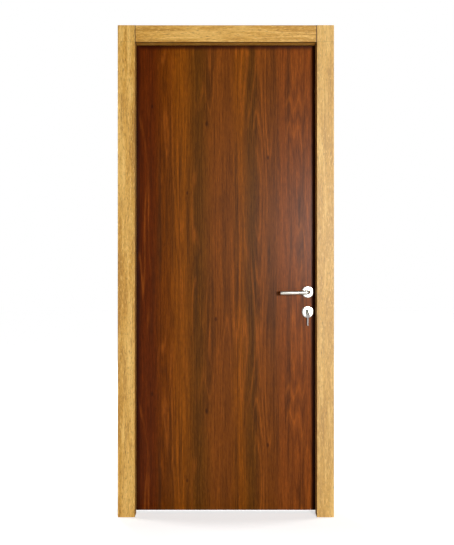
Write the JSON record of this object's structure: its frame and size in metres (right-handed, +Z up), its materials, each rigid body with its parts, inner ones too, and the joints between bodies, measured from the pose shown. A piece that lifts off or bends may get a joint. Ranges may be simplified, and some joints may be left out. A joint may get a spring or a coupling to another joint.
{
  "type": "interior wooden door set",
  "caption": "Interior timber door in a rebated frame with flat casings; the leaf swings on butt hinges and has a lever latch and a keyed dead bolt.",
  "frame": {"origin": "on the wall face of the hinge jamb lining, at floor level and half way through the wall", "axes": "+X along the wall from the hinge jamb to the lock jamb, +Y through the wall away from the push side and towards the side the leaf opens to, +Z up"},
  "size_m": [0.9715, 0.1635, 2.167],
  "materials": {
    "oak_laminate": "light oak laminate, satin",
    "walnut_laminate": "dark walnut laminate, low sheen",
    "leaf_edge_timber": "dark edge band",
    "core_board": "tubular chipboard",
    "seal_rubber": "soft brown rubber",
    "satin_steel": "satin",
    "brushed_lever_steel": "brushed",
    "cylinder_metal": "satin nickel",
    "key_metal": "nickel plated"
  },
  "bodies": {
    "frame": {"hinge_jamb_lining": "oak_laminate", "lock_jamb_lining": "oak_laminate", "head_lining": "oak_laminate", "hinge_casing_front": "oak_laminate", "lock_casing_front": "oak_laminate", "head_casing_front": "oak_laminate", "hinge_casing_back": "oak_laminate", "lock_casing_back": "oak_laminate", "head_casing_back": "oak_laminate", "hinge_jamb_seal": "seal_rubber", "lock_jamb_seal": "seal_rubber", "head_seal": "seal_rubber", "bottom_hinge_frame_leaf": "satin_steel", "bottom_hinge_pin": "satin_steel", "middle_hinge_frame_leaf": "satin_steel", "middle_hinge_pin": "satin_steel", "top_hinge_frame_leaf": "satin_steel", "top_hinge_pin": "satin_steel", "strike_plate": "satin_steel"},
    "leaf": {"front_skin": "walnut_laminate", "back_skin": "walnut_laminate", "hinge_stile": "leaf_edge_timber", "lock_stile": "leaf_edge_timber", "top_rail": "leaf_edge_timber", "bottom_rail": "leaf_edge_timber", "leaf_core": "core_board", "lock_case": "satin_steel", "lock_forend": "satin_steel", "front_lever_rose": "brushed_lever_steel", "back_lever_rose": "brushed_lever_steel", "front_key_rose": "brushed_lever_steel", "back_key_rose": "brushed_lever_steel", "cylinder_body": "cylinder_metal", "bottom_hinge_door_leaf": "satin_steel", "middle_hinge_door_leaf": "satin_steel", "top_hinge_door_leaf": "satin_steel"},
    "lever_set": {"spindle": "satin_steel", "front_lever": "brushed_lever_steel", "back_lever": "brushed_lever_steel"},
    "latch": {"latch_bolt": "satin_steel"},
    "dead_bolt": {"dead_bolt": "satin_steel"},
    "turning_key": {"cylinder_plug": "cylinder_metal", "key_in_lock": "key_metal"},
    "hanging_keys": {"key_ring": "key_metal", "spare_key": "key_metal"}
  },
  "joints": [
    {"name": "leaf_swing", "type": "hinge", "parent": "frame", "child": "leaf", "pos_m": [0.0245, 0.052, 1], "axis": [0, 0, 1], "range_deg": [0, 110]},
    {"name": "lever_turn", "type": "hinge", "parent": "leaf", "child": "lever_set", "pos_m": [0.802, 0.025, 0.983], "axis": [0, -1, 0], "range_deg": [0, 40], "stiffness_Nm_per_rad": 1.5, "springref_deg": -28.65},
    {"name": "latch_slide", "type": "slide", "parent": "leaf", "child": "latch", "axis": [-1, 0, 0], "range_m": [0, 0.012]},
    {"name": "key_turn", "type": "hinge", "parent": "leaf", "child": "turning_key", "pos_m": [0.802, -0.005, 0.898], "axis": [0, 1, 0], "range_deg": [0, 360]},
    {"name": "dead_bolt_slide", "type": "slide", "parent": "leaf", "child": "dead_bolt", "axis": [1, 0, 0], "range_m": [0, 0.02]},
    {"name": "ring_swing", "type": "hinge", "parent": "leaf", "child": "hanging_keys", "pos_m": [0.802, -0.0114, 0.9021], "axis": [-1, 0, 0], "range_deg": [0, 15]}
  ],
  "couplings": [
    {"joint": "latch_slide", "follows": "lever_turn", "m_per_rad": 0.017188},
    {"joint": "key_turn", "follows": "dead_bolt_slide", "rad_per_m": 314.16}
  ]
}
